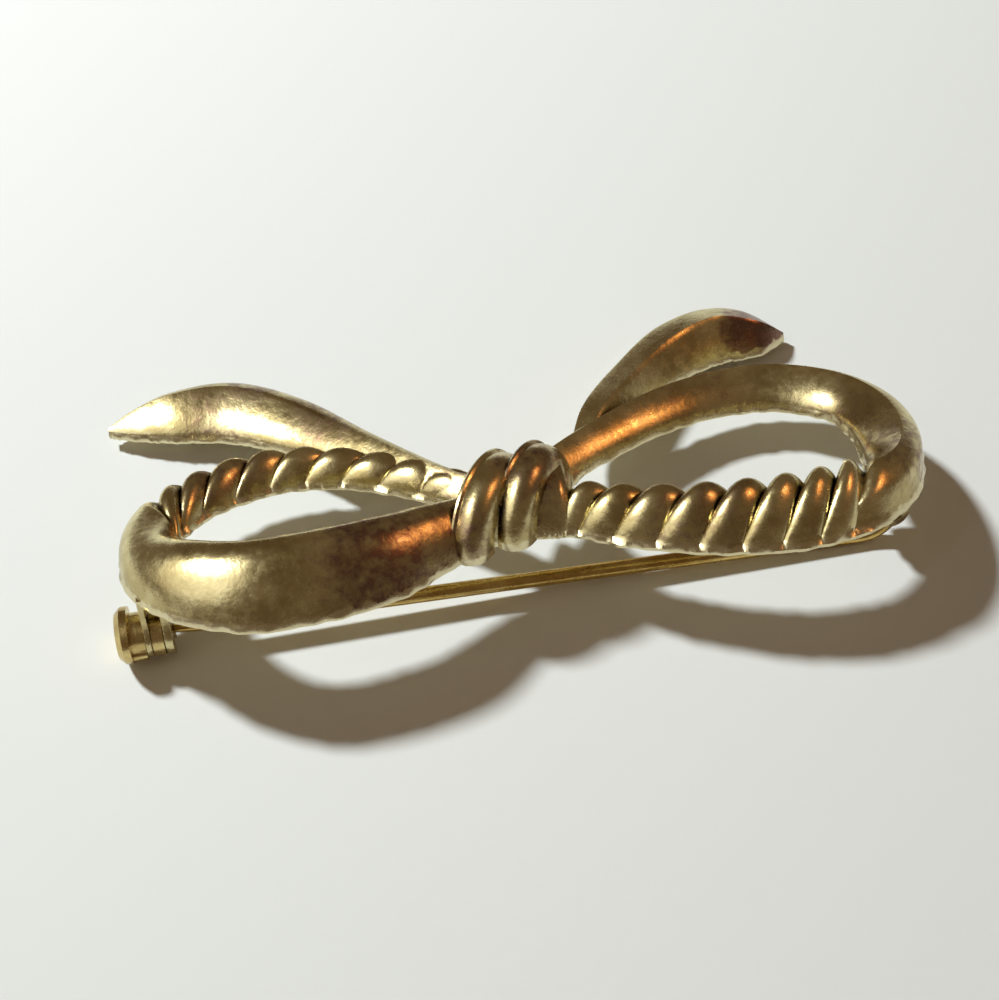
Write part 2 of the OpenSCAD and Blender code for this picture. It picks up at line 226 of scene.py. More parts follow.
# %% [markdown]
# The bow is cast brass under a thin wash of gold that has aged for decades. Its tone is paler or more aged
# in random patches. Brown lies where a table puts it, as tarnish and, on the tails, as painted shade.
# Grooves and corners are darkened, as painted shade with the dirt that stays there, and the low rim is
# painted whitish, as a painted reflection of the pale floor. A picture of old metal could be wrapped round
# it, but it would stretch on the ropes.
# Noise in three real sizes gives the patches, the mottled edge between them and the pits of the casting's
# skin, on any shape.

# %% Patterns of old gold
# Widths in millimetres of a patch of tarnish, the mottle at its edge, and a pit. Real pits are finer, and
# are drawn coarser here so that they show
PATCH, MOTTLE, PIT = 3.5, 0.6, 0.16
PATTERNS = (("patches", PATCH, 6), ("mottle", MOTTLE, 4), ("pits", PIT, 3))
# How deep a pattern dents the surface, in millimetres
RELIEF = (("mottle", 0.022), ("pits", 0.005))


def patterns_of(tree, coords):
    """The three noise patterns by name, each in its real size."""
    made = {}
    for name, width, detail in PATTERNS:
        values = {"Scale": 1 / (width * MM), "Detail": detail, "Roughness": 0.6}
        made[name] = add(tree, "ShaderNodeTexNoise", {"Vector": coords}, values).outputs["Fac"]
    return made


def limits(span, low=0, high=1):
    """The limits of a Map Range node that turns a span of values into low to high."""
    return {"From Min": span[0], "From Max": span[1], "To Min": low, "To Max": high}


def layer_over(tree, under, colour, place, mottle, span, low=0, high=1):
    """Lays a colour over another where the surface's own attribute says, with a mottled edge."""
    where = add(tree, "ShaderNodeAttribute", attribute_name=place).outputs["Fac"]
    edge = add(tree, "ShaderNodeMath", {0: where, 1: mottle}, operation="ADD").outputs["Value"]
    share = add(tree, "ShaderNodeMapRange", {"Value": edge}, limits(span, low, high)).outputs["Result"]
    mixed = add(tree, "ShaderNodeMix", {"A": under, "Factor": share}, data_type="RGBA")
    mixed.inputs["B"].default_value = linear(colour)
    return mixed.outputs["Result"]


def relief(tree, patterns, shader):
    """Soft dents as wide as the mottle, and the finer pits of the skin on them."""
    normal = None
    for name, height in RELIEF:
        links = {"Height": patterns[name]}
        if normal:
            links["Normal"] = normal
        values = {"Strength": 1.0, "Distance": height * MM}
        normal = add(tree, "ShaderNodeBump", links, values).outputs["Normal"]
    tree.links.new(normal, shader.inputs["Normal"])


print("patterns", [name for name, width, detail in PATTERNS])

# %% [markdown]
# All four pieces are brass that has aged together, so one function gives every finish and only the
# colours change. A metal's colour is what it reflects, so each tone is a pale one. The shader is fully
# metallic with its default IOR, and its roughness runs from a rubbed polish to a soft cast skin, which
# breaks up the highlights.

# %% Tarnished gold, with painted shade and reflection
# A whitish colour painted low on the bow's rim: a painted reflection of the pale floor.
PAINTED_RIM_REFLECTION = "#DDD2AC"
POLISH, SKIN_ROUGH = 0.18, 0.32
MOTTLE_SPAN = (0.3, 0.7)
# Where each layer starts and where it is full. All but the patches add the mottle, which is about 0.5
PATCH_SPAN, STAIN_AND_SHADE_SPAN = (0.38, 0.60), (0.72, 1.1)
HOLLOW_SPAN, RIM_SPAN = (0.65, 1.05), (0.95, 1.1)


def aged_gold_with_painted_light(name, clean, aged, brown, dark, rim_reflection=0.0):
    """Old gold: pale patches, brown stains and painted shade, dirt and painted shade in hollows, a painted
    rim reflection.
    """
    material, tree, shader, coords = new_material(name)
    patterns = patterns_of(tree, coords)
    mottle = patterns["mottle"]
    rubbed = add(tree, "ShaderNodeMapRange", {"Value": patterns["patches"]}, limits(PATCH_SPAN))
    tone = add(tree, "ShaderNodeMix", {"Factor": rubbed.outputs["Result"]}, data_type="RGBA")
    tone.inputs["A"].default_value = linear(clean)
    tone.inputs["B"].default_value = linear(aged)
    # Brown where the stain table says: tarnish, and painted shade on the tails' sides.
    colour = layer_over(tree, tone.outputs["Result"], brown, "stain_and_shade", mottle, STAIN_AND_SHADE_SPAN)
    # Darker where the surface is closed in: painted shade, with the dirt that gathers there.
    colour = layer_over(tree, colour, dark, "hollow", mottle, HOLLOW_SPAN)
    # Whitish low on the rim: a painted reflection of the pale floor.
    colour = layer_over(tree, colour, PAINTED_RIM_REFLECTION, "height", mottle, RIM_SPAN, rim_reflection, 0)
    tree.links.new(colour, shader.inputs["Base Color"])
    shader.inputs["Metallic"].default_value = 1.0
    rough = add(tree, "ShaderNodeMapRange", {"Value": mottle}, limits(MOTTLE_SPAN, POLISH, SKIN_ROUGH))
    tree.links.new(rough.outputs["Result"], shader.inputs["Roughness"])
    relief(tree, patterns, shader)
    return material


print("roughness from", POLISH, "to", SKIN_ROUGH)


# %% [markdown]
# The bow's gold is greenish and greyed, with a purple brown in its stains and its painted shade, and it
# alone has the whitish rim, a painted reflection of the pale floor. The drawn wire is a plain yellow brass.
# The turned catch is brighter, as if it was plated by itself. The rivet is given the darkest tones. One
# metal for all would be quicker, but then the catch and the pin look cast too.

# %% The four finishes
# The bow's brown stands for tarnish and painted shade, its dark for painted shade with dirt in hollows, and
# its rim colour is a painted reflection.
bow_metal = aged_gold_with_painted_light("antique_gold_cast", "#DED2A2", "#B8A878", "#86695A", "#3E3020", rim_reflection=0.9)
pin_metal = aged_gold_with_painted_light("dull_gold_wire", "#DCC07A", "#B8964E", "#6E5430", "#3E3020")
catch_metal = aged_gold_with_painted_light("brighter_gold_catch", "#DCC88C", "#A88E56", "#5C4630", "#3E3020")
rivet_metal = aged_gold_with_painted_light("dark_gold_rivet", "#A88B4E", "#7C6233", "#4A3A22", "#3A2E1A")
print("finishes", [metal.name for metal in (bow_metal, pin_metal, catch_metal, rivet_metal)])

# %% [markdown]
# Each loop of the bow is one long band: a smooth ribbon that turns into a rope as it comes back to the knot.
# It could be a curve with a bevel, but a bevel has one shape all the way, and this band swells and thins. So
# a table holds a few sections along it, as shares of the bow's own sizes. The rows of the loops and the
# tails began as places read off the photo. A helper program then made them narrower and taller by one rule,
# so that the bow's shadow fits too, which is why they aren't round numbers.

# %% The loops' tables
# Columns: place along the half span, place in the depth, width and height of the band
SIZES = np.array([HALF_SPAN, DEPTH, BAND_W, BAND_H])
X, Y, W, H = range(4)
LEFT_LOOP = np.array([
    [-0.012, -0.009, 0.44, 0.60],
    [-0.124, -0.043, 0.52, 0.65],
    [-0.248, -0.099, 0.70, 0.80],
    [-0.364, -0.153, 0.83, 0.94],
    [-0.516, -0.180, 0.86, 1.00],
    [-0.667, -0.179, 0.87, 1.00],
    [-0.797, -0.119, 0.89, 0.90],
    [-0.882, -0.024, 0.97, 0.70],
    [-0.901, 0.077, 0.95, 0.59],
    [-0.868, 0.171, 0.73, 0.53],
    [-0.771, 0.246, 0.56, 0.54],
    [-0.620, 0.294, 0.48, 0.54],
    [-0.465, 0.288, 0.46, 0.49],
    [-0.310, 0.230, 0.48, 0.45],
    [-0.167, 0.136, 0.48, 0.46],
    [-0.047, 0.057, 0.42, 0.49],
])
RIGHT_LOOP = np.array([
    [0.012, 0.066, 0.39, 0.49],
    [0.167, 0.178, 0.41, 0.50],
    [0.355, 0.278, 0.45, 0.53],
    [0.523, 0.326, 0.46, 0.55],
    [0.694, 0.322, 0.50, 0.57],
    [0.843, 0.254, 0.64, 0.55],
    [0.917, 0.145, 0.87, 0.54],
    [0.924, 0.012, 0.94, 0.58],
    [0.876, -0.114, 0.83, 0.71],
    [0.764, -0.194, 0.75, 0.85],
    [0.605, -0.215, 0.74, 0.88],
    [0.426, -0.186, 0.69, 0.82],
    [0.244, -0.118, 0.64, 0.71],
    [0.105, -0.045, 0.56, 0.64],
    [0.008, -0.015, 0.50, 0.61],
])
print("sections of the loops", len(LEFT_LOOP), len(RIGHT_LOOP))

# %% [markdown]
# The two tails come out of the knot behind the loops, swell and end in points. The core is the short
# thick band inside the knot, which the strands and the tails run into. All three are made as the loops
# are.

# %% The tables of the tails and the core
LEFT_TAIL = np.array([
    [-0.016, 0.011, 0.40, 0.41],
    [-0.172, 0.134, 0.43, 0.43],
    [-0.349, 0.312, 0.60, 0.47],
    [-0.516, 0.483, 0.84, 0.54],
    [-0.667, 0.574, 0.86, 0.63],
    [-0.818, 0.599, 0.66, 0.57],
    [-0.922, 0.611, 0.37, 0.37],
    [-0.996, 0.620, 0.05, 0.13],
])
RIGHT_TAIL = np.array([
    [0.023, 0.029, 0.30, 0.12],
    [0.163, 0.180, 0.40, 0.20],
    [0.250, 0.307, 0.64, 0.42],
    [0.372, 0.444, 0.75, 0.46],
    [0.498, 0.550, 0.84, 0.53],
    [0.620, 0.589, 0.77, 0.58],
    [0.733, 0.582, 0.56, 0.43],
    [0.814, 0.591, 0.05, 0.12],
])
CORE = np.array([
    [-0.105, 0.012, 0.60, 0.48],
    [-0.050, 0.018, 1.00, 0.72],
    [0.039, 0.010, 1.10, 0.80],
    [0.092, -0.004, 1.05, 0.74],
    [0.116, -0.010, 0.80, 0.54],
])
print("sections of the tails and the core", len(LEFT_TAIL), len(RIGHT_TAIL), len(CORE))

# %% [markdown]
# Straight lines between the sections would leave corners in the silhouette. A smooth curve that passes
# through every row keeps each section of the table and rounds all between them.

# %% Smooth curves through a table
SLOPE_STEP = 0.004


def row_at(rows, t):
    """The band's row at each t from 0 to 1, on a smooth curve through the table, in millimetres."""
    n = len(rows) - 1
    u = np.clip(t, 0, 1) * n
    i = np.minimum(np.floor(u).astype(int), n - 1)
    f = (u - i)[..., None]
    a, b, c, d = rows[np.maximum(i - 1, 0)], rows[i], rows[i + 1], rows[np.minimum(i + 2, n)]
    curve = 2 * b + (c - a) * f + (2 * a - 5 * b + 4 * c - d) * f**2 + (3 * b - a - 3 * c + d) * f**3
    return SIZES * 0.5 * curve


def along_at(rows, t):
    """How fast the band's row changes at each t, in millimetres per step of t."""
    return (row_at(rows, t + SLOPE_STEP) - row_at(rows, t - SLOPE_STEP)) / (2 * SLOPE_STEP)


def ease(t):
    """0 before 0, 1 after 1 and smooth between them."""
    u = np.clip(t, 0, 1)
    return u * u * (3 - 2 * u)


print("the left loop ends at", np.round(row_at(LEFT_LOOP, np.array([1.0]))[0], 2), "mm")

# %% [markdown]
# A band's section is a low upright edge, the land, under a rounded top. A half circle would do for a
# plain ring. Here the top is a little squarer than that, as a polished cast ribbon is, and some bands
# have a keel: the light breaks along it and shows a bright side and a dark one.

# %% The bands' section
LAND_H, ROUNDNESS, TOP_STEPS = 0.45, 0.9, 36
TOP_FALL, EDGE_ROUND = 0.18, 3


def section():
    """Points across a section from one edge to the other: across from 1 to -1, and up from 0 to 1."""
    angle = np.linspace(0, math.pi, TOP_STEPS + 1)
    across = np.sign(np.cos(angle)) * np.abs(np.cos(angle)) ** ROUNDNESS
    up = np.clip(np.sin(angle), 0, 1) ** ROUNDNESS
    land = [(1, -1), (1, -0.5)]
    return np.array(land + list(zip(across, up)) + [(-x, y) for x, y in reversed(land)])


def keeled(across, up, keel, crest, far):
    """Draws a round top towards a keel at the crest, from which the far side falls only a little."""
    q = across * far
    tent = np.where(q < crest, (1 + q) / (1 + crest), 1 - TOP_FALL * (q - crest) / (1 - crest))
    return np.where(up < 0, up, up * (1 - keel) + tent * ease(EDGE_ROUND * up) * keel)


SECTION = section()
AROUND = np.concatenate([[1, 1], np.linspace(1, -1, TOP_STEPS + 1), [-1, -1]])
print("points round a section", len(SECTION))

# %% [markdown]
# The ribbons of the real bow lean away from its front edge, so their front sides face up and catch the
# window. An upright band shows a pale wall there. The lean is a shear, and it would lift the crests in
# the photo's view, so the band is lowered by as much as that.

# %% Lean of the ribbons
LEAN_BACK = 0.40
VIEW_RISE = math.radians(40)


def lean_back(points, back=LEAN_BACK):
    """Lets a ribbon lean away from the front edge, and lowers it by as much as that lifts it to the eye."""
    points = points.copy()
    lower = math.cos(VIEW_RISE) / (math.cos(VIEW_RISE) + back * math.sin(VIEW_RISE))
    above = np.maximum(points[..., 2] - LAND_H, 0) * lower
    points[..., 2] = np.minimum(points[..., 2], LAND_H) + above
    points[..., 1] += back * above
    return points


print("the ribbons lean by", round(math.degrees(math.atan(LEAN_BACK))), "degrees")

# %% [markdown]
# The rope is not two twisted wires: it is the same band with leaning grooves cast into it. The lobes
# between the grooves are full and the grooves are sharp, which the root of a sine gives. Next to the knot
# the rope runs out into a plain stretch, and round the seam the ribbon dips to meet the first groove.

# %% Grooves of the rope
LEFT_CUT, RIGHT_CUT = 0.60, 0.63
LOBES, LOBE_FULLNESS = 10, 0.62
PLAIN_DIP, PLAIN_LOBES, PLAIN_EASE = 0.75, 2.4, 0.7
SEAM_SLOPE, LEAN_IN, LEAN_OUT = 40, 0.09, 0.12


def seam_dip(t, cut):
    """How deep the ribbon dips towards its seam with the rope, from 0 to 1."""
    return np.clip(1 - (cut - t) * SEAM_SLOPE, 0, 1) ** 2


def strand_dip(t, cut, plain):
    """1 in a groove of the rope and 0 on a lobe, drawn towards the plain stretch's value near the knot."""
    lobe = LOBES * np.maximum(t - cut, 0) / (1 - cut)
    dip = 1 - np.abs(np.sin(math.pi * lobe)) ** LOBE_FULLNESS
    return dip + plain * (PLAIN_DIP - dip) * ease((lobe - LOBES + PLAIN_LOBES) / PLAIN_EASE)


def lean_at(t, cut):
    """How much the sections lean along the band: they turn before the seam and straighten at the end."""
    return ease((t - cut + LEAN_IN) / LEAN_IN) * ease((1 - t) / LEAN_OUT)


print("a lobe takes", round((1 - RIGHT_CUT) / LOBES, 3), "of the right loop")

# %% [markdown]
# A groove makes its section narrower and lower. The outer side of each ring is also taken further along
# the band than the inner side, and that slants the grooves. The land round the back is left ragged by the
# mould. Random flash would have to be seeded and smoothed, so waves that beat against each other stand in
# for it.

# %% Rings of a band
GROOVE, GROOVE_LEAN, GROOVE_FOOT = 0.34, 5.0, 0.55
WIDEST_LEAN = 0.6 * BAND_W
FLASH, RAGGED = 0.12, 0.5
# Radians along a band: two waves that beat against each other, and a finer one half as high
WAVES, WAVE_SHIFT, FINE_WAVE, FINE_SHARE = (61, 143), 2, 277, 0.5


def ragged_flash(place):
    """How far the flash stands out at each place along a band."""
    beat = np.sin(WAVES[0] * place + WAVE_SHIFT) * np.sin(WAVES[1] * place)
    return FLASH * (1 + RAGGED * (beat + FINE_SHARE * np.sin(FINE_WAVE * place)))


def rings_of(rows, t, depth=0.0, lean=0.0, keel=0.0, crest=0.0, far=1, back=LEAN_BACK):
    """The rings of points of a band, a row for each t, in the bow's own frame in millimetres."""
    speed = np.linalg.norm(along_at(rows, t), axis=1)
    run = lean * GROOVE_LEAN / BAND_W * np.minimum(row_at(rows, t)[:, W], WIDEST_LEAN) / speed / 2
    place = t[:, None] + AROUND * run[:, None]
    row, ahead = row_at(rows, place), along_at(rows, place)[..., :2]
    way = ahead / np.linalg.norm(ahead, axis=-1, keepdims=True)

    across = SECTION[:, 0]
    up = keeled(across, SECTION[:, 1], keel, crest, far)
    dip = (GROOVE * np.broadcast_to(depth, t.shape))[:, None]
    full = np.where(up < 0, 1, 1 - dip * (GROOVE_FOOT + (1 - GROOVE_FOOT) * up))
    flash = np.where(up < 0, ragged_flash(place), 0)
    out = across * (row[..., W] / 2 * full + flash)
    rise = np.where(up < 0, LAND_H * (1 + up), LAND_H + (row[..., H] - LAND_H) * up * (1 - dip))
    x, y = row[..., X] - out * way[..., 1], row[..., Y] + out * way[..., 0]
    return lean_back(np.stack([x, y, rise], -1), back)


test_ring = rings_of(CORE, np.array([0.5]))[0]
print("the core is", round(float(np.ptp(test_ring[:, 1])), 2), "mm from front to back")

# %% [markdown]
# Two small tools read a mesh. One takes out a vector for each point, so that numpy can work on all of
# them at once. The other adds up the volume inside, because a piece that comes out inside out has one
# below zero. The face normals could be looked at instead, but one number is easier to test.


# %% Read a mesh
def vectors_of(collection, name):
    """One vector of each item of a mesh, a row for each."""
    values = np.zeros(len(collection) * 3, np.float32)
    collection.foreach_get(name, values)
    return values.reshape(-1, 3)


def volume_of(piece):
    """The volume inside a closed piece, below zero where it is inside out."""
    total = 0
    for face in piece.data.polygons:
        corners = [piece.data.vertices[i].co for i in face.vertices]
        for b, c in zip(corners[1:], corners[2:]):
            total += corners[0].dot(b.cross(c)) / 6
    return total


print("the floor has", len(vectors_of(floor.data.vertices, "co")), "points")

# %% [markdown]
# A rope that leans round a bend can't be extruded by hand. So each band starts as a flat grid with a row
# for each section. The grid is rolled so that its two long edges meet, they are merged, and its open ends
# are filled. That gives a closed skin of even strips, which the union needs.


# %% Roll a grid into a band
# Metres under which two points become one
MERGE = 1e-7


def rolled(name, rings):
    """A grid rolled into a closed band, each of its rows laid on a ring of points."""
    rows, columns = rings.shape[:2]
    bpy.ops.object.select_all(action="DESELECT")
    bpy.ops.mesh.primitive_grid_add(x_subdivisions=columns, y_subdivisions=rows - 1, size=2)
    band = bpy.context.object
    band.name = name
    flat = vectors_of(band.data.vertices, "co")
    column = np.rint((flat[:, 0] + 1) / 2 * columns).astype(int) % columns
    row = np.rint((flat[:, 1] + 1) / 2 * (rows - 1)).astype(int)
    places = rings[row, column] * MM
    band.data.vertices.foreach_set("co", places.astype(np.float32).ravel())
    bpy.ops.object.mode_set(mode="EDIT")
    bpy.ops.mesh.select_all(action="SELECT")
    bpy.ops.mesh.remove_doubles(threshold=MERGE)
    bpy.ops.mesh.fill_holes(sides=0)
    bpy.ops.mesh.select_all(action="SELECT")
    bpy.ops.mesh.normals_make_consistent(inside=False)
    bpy.ops.object.mode_set(mode="OBJECT")
    if volume_of(band) < 0:
        band.data.flip_normals()
    print(name, len(band.data.polygons), "faces", round(volume_of(band) / MM**3, 1), "cubic mm")
    return band


# %% [markdown]
# On the real loop the smooth ribbon stops in a step, and the rope starts behind it. One mesh could hold
# both, but its strips would have to jump at the step. Two bands that run a little way into each other
# keep clean strips, and the union cuts the step where they meet.

# %% The loops
RIBBON_ROWS, LOBE_ROWS = 110, 24
SEAM_ROWS, SEAM_STEP = 4, 0.0035
RIBBON_PAST, ROPE_BEFORE = 0.003, 0.004
NO_KEEL, RIGHT_KEEL = (), (0.5, 0.3)
LEFT_PLAIN, RIGHT_PLAIN = 0.3, 0.85


def loop_bands(side, rows, cut, plain, keel):
    """A loop's smooth band and its rope, which run a little way into each other at the seam."""
    last = cut - SEAM_ROWS * SEAM_STEP
    seam = last + SEAM_STEP * np.arange(1, SEAM_ROWS + 1)
    smooth = np.concatenate([np.linspace(0, last, RIBBON_ROWS), seam, [cut + RIBBON_PAST]])
    steps = np.arange(1, LOBES * LOBE_ROWS + 1) / (LOBES * LOBE_ROWS)
    rope = np.concatenate([[cut - ROPE_BEFORE], cut + (1 - cut) * steps])
    ribbon_rings = rings_of(rows, smooth, seam_dip(smooth, cut), lean_at(smooth, cut), *keel)
    rope_rings = rings_of(rows, rope, strand_dip(rope, cut, plain), lean_at(rope, cut))
    return [rolled(side + "_ribbon", ribbon_rings), rolled(side + "_rope", rope_rings)]


casting = loop_bands("left", LEFT_LOOP, LEFT_CUT, LEFT_PLAIN, NO_KEEL)
casting += loop_bands("right", RIGHT_LOOP, RIGHT_CUT, RIGHT_PLAIN, RIGHT_KEEL)

# %% [markdown]
# The left tail is gently ridged and leans less than the loops, and the core leans less again, to fill the
# knot. The right tail stands upright with a sharp keel just in front of its middle, so it shows a narrow
# pale top and a dark brown side, which a stain of painted shade darkens further. All three could lean alike,
# but the photo shows these differences in their highlights.

# %% The tails and the core
TAIL_ROWS = 81
# Name, table, how sharp the keel is, where its crest lies, which side is the far one, and the lean back
TAILS_AND_CORE = (
    ("left_tail", LEFT_TAIL, 0.6, 0.1, -1, 0.3),
    ("right_tail", RIGHT_TAIL, 0.95, -0.25, 1, 0),
    ("core", CORE, 0, 0, 1, 0.25),
)
for name, rows, *form in TAILS_AND_CORE:
    steps = np.linspace(0, 1, TAIL_ROWS)
    casting.append(rolled(name, rings_of(rows, steps, 0, np.zeros(TAIL_ROWS), *form)))

# %% [markdown]
# The knot is two turns of ribbon that wrap over all the strands. Each could be a bent strip with the
# solidify modifier, but its section isn't even: a narrow raised edge on the left, a step, and a broad
# rounded back. So a table draws that section, and an arch from one foot over the top to the other carries
# it.

# %% The section of the knot's turns
WRAP_W, WRAP_T = 2.35, 0.42
ASIDE, OUT = range(2)
WRAP = np.array([
    [-1.00, -0.90],
    [-1.00, 0.25],
    [-0.95, 0.62],
    [-0.86, 0.87],
    [-0.75, 0.98],
    [-0.64, 0.97],
    [-0.56, 0.86],
    [-0.52, 0.82],
    [-0.34, 0.88],
    [-0.10, 0.92],
    [0.15, 0.90],
    [0.38, 0.80],
    [0.58, 0.64],
    [0.76, 0.40],
    [0.90, 0.10],
    [0.98, -0.30],
    [1.00, -0.90],
])
print("points of the wrap's section", len(WRAP))

# %% [markdown]
# The turns lie side by side and slant the same way, but the right one starts further back and is shorter.
# Each is half an ellipse in its own slanted plane.

# %% The knot
KNOT_X, KNOT_LEAN, ARCH_STEPS = -0.45, 0.1, 56
# Name, place beside the knot's middle, slant in degrees, front foot, depth and height, in millimetres
TURNS = (
    ("left_turn", -1.45, 40, -3.3, 6.4, 5.1),
    ("right_turn", 1.15, 42, -2.6, 5.6, 5.2),
)


def knot_turn(name, beside, slant, front, depth, height):
    """One turn of the knot: an arch with a stepped and rounded outside, on its two feet."""
    slant = math.radians(slant)
    reach, crown = depth / 2 / math.cos(slant), WRAP_W * WRAP_T
    arch = np.linspace(math.pi, 0, ARCH_STEPS + 1)[:, None]
    run = (reach - crown + crown * WRAP[:, OUT]) * np.cos(arch)
    rise = (height - crown + crown * WRAP[:, OUT]) * np.maximum(np.sin(arch), 0)
    aside = np.broadcast_to(WRAP[:, ASIDE] * WRAP_W / 2, run.shape)
    x = KNOT_X + beside + run * math.sin(slant) + aside * math.cos(slant)
    y = front + depth / 2 + run * math.cos(slant) - aside * math.sin(slant)
    return rolled(name, lean_back(np.stack([x, y, rise], -1), KNOT_LEAN))


for row in TURNS:
    casting.append(knot_turn(*row))

# %% [markdown]
# Two ears for the hinge, two round plates for the catch and a bridge between those are soldered to the
# back. They could be cut from blocks. The round ones are stamped from sheet, so here each starts as a
# flat disc, as at a bench, and the bridge as a block.

# %% Stamped plates
TO_X, TO_Y = (0, math.pi / 2, 0), (math.pi / 2, 0, 0)
DISC_SIDES, BORE_SIDES = 64, 32


def apply_place(piece):
    """Puts an object's place, turn and size into its mesh."""
    bpy.ops.object.transform_apply(location=True, rotation=True, scale=True)
    return piece


def disc(place, diameter, thick, turned, sides=DISC_SIDES):
    """A disc about a point of the pin's line, in millimetres."""
    bpy.ops.object.select_all(action="DESELECT")
    size = {"radius": diameter / 2 * MM, "depth": thick * MM}
    bpy.ops.mesh.primitive_cylinder_add(vertices=sides, location=Vector(place) * MM, rotation=turned, **size)
    return apply_place(bpy.context.object)


def block(low, high):
    """A block between two corners on the pin's line, in millimetres."""
    low, high = Vector(low) * MM, Vector(high) * MM
    bpy.ops.object.select_all(action="DESELECT")
    bpy.ops.mesh.primitive_cube_add(size=1, location=(low + high) / 2)
    bpy.context.object.scale = high - low
    return apply_place(bpy.context.object)


print("discs have", DISC_SIDES, "sides")

# %% [markdown]
# An ear or a plate has a neck that reaches up to the back. It could be a block joined on, but drawing up
# the disc itself leaves no joint to show: it is cut level, and the flat that is left is extruded up to
# the back. The cut needs a finer limit than usual, because these discs are a few millimetres wide.


# %% Draw a disc up to the back
SOLDER_Z = 0.4
UPWARDS = 0.99
# Metres: within the first a point lies on the cut, and within the second a face lies on its level
FINE, NEAR = 1e-8, 1e-6


def draw_up(plate, level):
    """Cuts a disc level and draws its flat up to the back."""
    bpy.ops.object.mode_set(mode="EDIT")
    bpy.ops.mesh.select_all(action="SELECT")
    plane = {"plane_co": (0, 0, level * MM), "plane_no": (0, 0, 1)}
    bpy.ops.mesh.bisect(**plane, clear_outer=True, use_fill=True, threshold=FINE)
    bpy.ops.object.mode_set(mode="OBJECT")
    for face in plate.data.polygons:
        face.select = face.normal.z > UPWARDS and abs(face.center.z - level * MM) < NEAR
    bpy.ops.object.mode_set(mode="EDIT")
    bpy.ops.mesh.select_mode(type="FACE")
    bpy.ops.mesh.extrude_region_move(TRANSFORM_OT_translate={"value": (0, 0, (SOLDER_Z - level) * MM)})
    bpy.ops.object.mode_set(mode="OBJECT")
    return plate


print("necks are drawn up to", SOLDER_Z, "mm inside the casting")

# %% [markdown]
# Holes and slots are cut with the same Boolean modifier that later fuses the casting, so one function
# does both. Its Manifold solver is quick and exact on closed pieces. A small bevel then rounds the edges:
# a stamped plate that was tumbled and plated has no sharp ones, and the round edge is what glints.


# %% Cut, join and soften
ROUND_STEPS, SHARP = 3, 40


def select_only(piece):
    """Makes a piece the one that the next operator works on."""
    bpy.ops.object.select_all(action="DESELECT")
    bpy.context.view_layer.objects.active = piece
    piece.select_set(True)


def combine(piece, other, operation):
    """Cuts another piece out of a piece, or joins it on, and removes the other."""
    select_only(piece)
    modifier = piece.modifiers.new(operation.lower(), "BOOLEAN")
    modifier.operation = operation
    modifier.solver = "MANIFOLD"
    modifier.object = other
    bpy.ops.object.modifier_apply(modifier=modifier.name)
    bpy.data.objects.remove(other)


def soften(piece, width):
    """Rounds a piece's sharp edges a little, as tumbling does."""
    select_only(piece)
    rounding = piece.modifiers.new("rounding", "BEVEL")
    rounding.width = width * MM
    rounding.segments = ROUND_STEPS
    rounding.limit_method = "ANGLE"
    rounding.angle_limit = math.radians(SHARP)
    bpy.ops.object.modifier_apply(modifier=rounding.name)
    return piece


print("edges sharper than", SHARP, "degrees are rounded")


# %% [markdown]
# The two ears hold the pin's eye between them. Each has a bore for the rivet and a shallow round seat
# outside for its head, both a little wider than the rivet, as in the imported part.

# %% Hinge ears
EAR_D, EAR_T, EAR_Y, EAR_BORE = 2.3, 0.7, 0.96, 1.06
HEAD_D, HEAD_DEEP, EAR_EDGE = 1.52, 0.23, 0.06

fittings = []
for side in (-1, 1):
    spot = (HINGE_X, side * EAR_Y, -PIVOT_DROP)
    outside = (HINGE_X, side * (EAR_Y + EAR_T / 2), -PIVOT_DROP)
    ear = draw_up(disc(spot, EAR_D, EAR_T, TO_Y), -PIVOT_DROP)
    combine(ear, disc(spot, EAR_BORE, 2 * EAR_T, TO_Y, BORE_SIDES), "DIFFERENCE")
    combine(ear, disc(outside, HEAD_D, 2 * HEAD_DEEP, TO_Y, BORE_SIDES), "DIFFERENCE")
    fittings.append(soften(ear, EAR_EDGE))
print("ears", [len(piece.data.polygons) for piece in fittings])

# %% [markdown]
# Two plates of the catch hold the roller's hub in round holes, with a slot below through which the pin
# goes in. The bridge is a flat block that solders both to the back. The holes could be left out, as
# little of them shows, but then the roller would cut through the plates.

# %% The catch's housing
CATCH_D, CATCH_NECK, HUB_HOLE, SLOT_W = 3.1, 2.48, 2.3, 1.2
OUTER_PLATE, INNER_PLATE = (-0.76, -0.41), (0.41, 0.91)
PLATE_EDGE, BRIDGE_EDGE, CUT_REACH = 0.04, 0.05, 1

neck_z = -CATCH_DROP + math.sqrt((CATCH_D / 2) ** 2 - (CATCH_NECK / 2) ** 2)
for near, far in (OUTER_PLATE, INNER_PLATE):
    middle = (CATCH_X + (near + far) / 2, 0, -CATCH_DROP)
    slot_low = (middle[0] - CUT_REACH, -SLOT_W / 2, -CATCH_DROP - CATCH_D)
    slot_high = (middle[0] + CUT_REACH, SLOT_W / 2, -CATCH_DROP)
    plate = draw_up(disc(middle, CATCH_D, far - near, TO_X), neck_z)
    combine(plate, disc(middle, HUB_HOLE, 2 * CUT_REACH, TO_X), "DIFFERENCE")
    combine(plate, block(slot_low, slot_high), "DIFFERENCE")
    fittings.append(soften(plate, PLATE_EDGE))
bridge_low = (CATCH_X + OUTER_PLATE[0], -CATCH_NECK / 2, -SOLDER_Z)
bridge_high = (CATCH_X + INNER_PLATE[1], CATCH_NECK / 2, SOLDER_Z)
fittings.append(soften(block(bridge_low, bridge_high), BRIDGE_EDGE))
for piece in fittings:
    piece.data.transform(PIN_START)
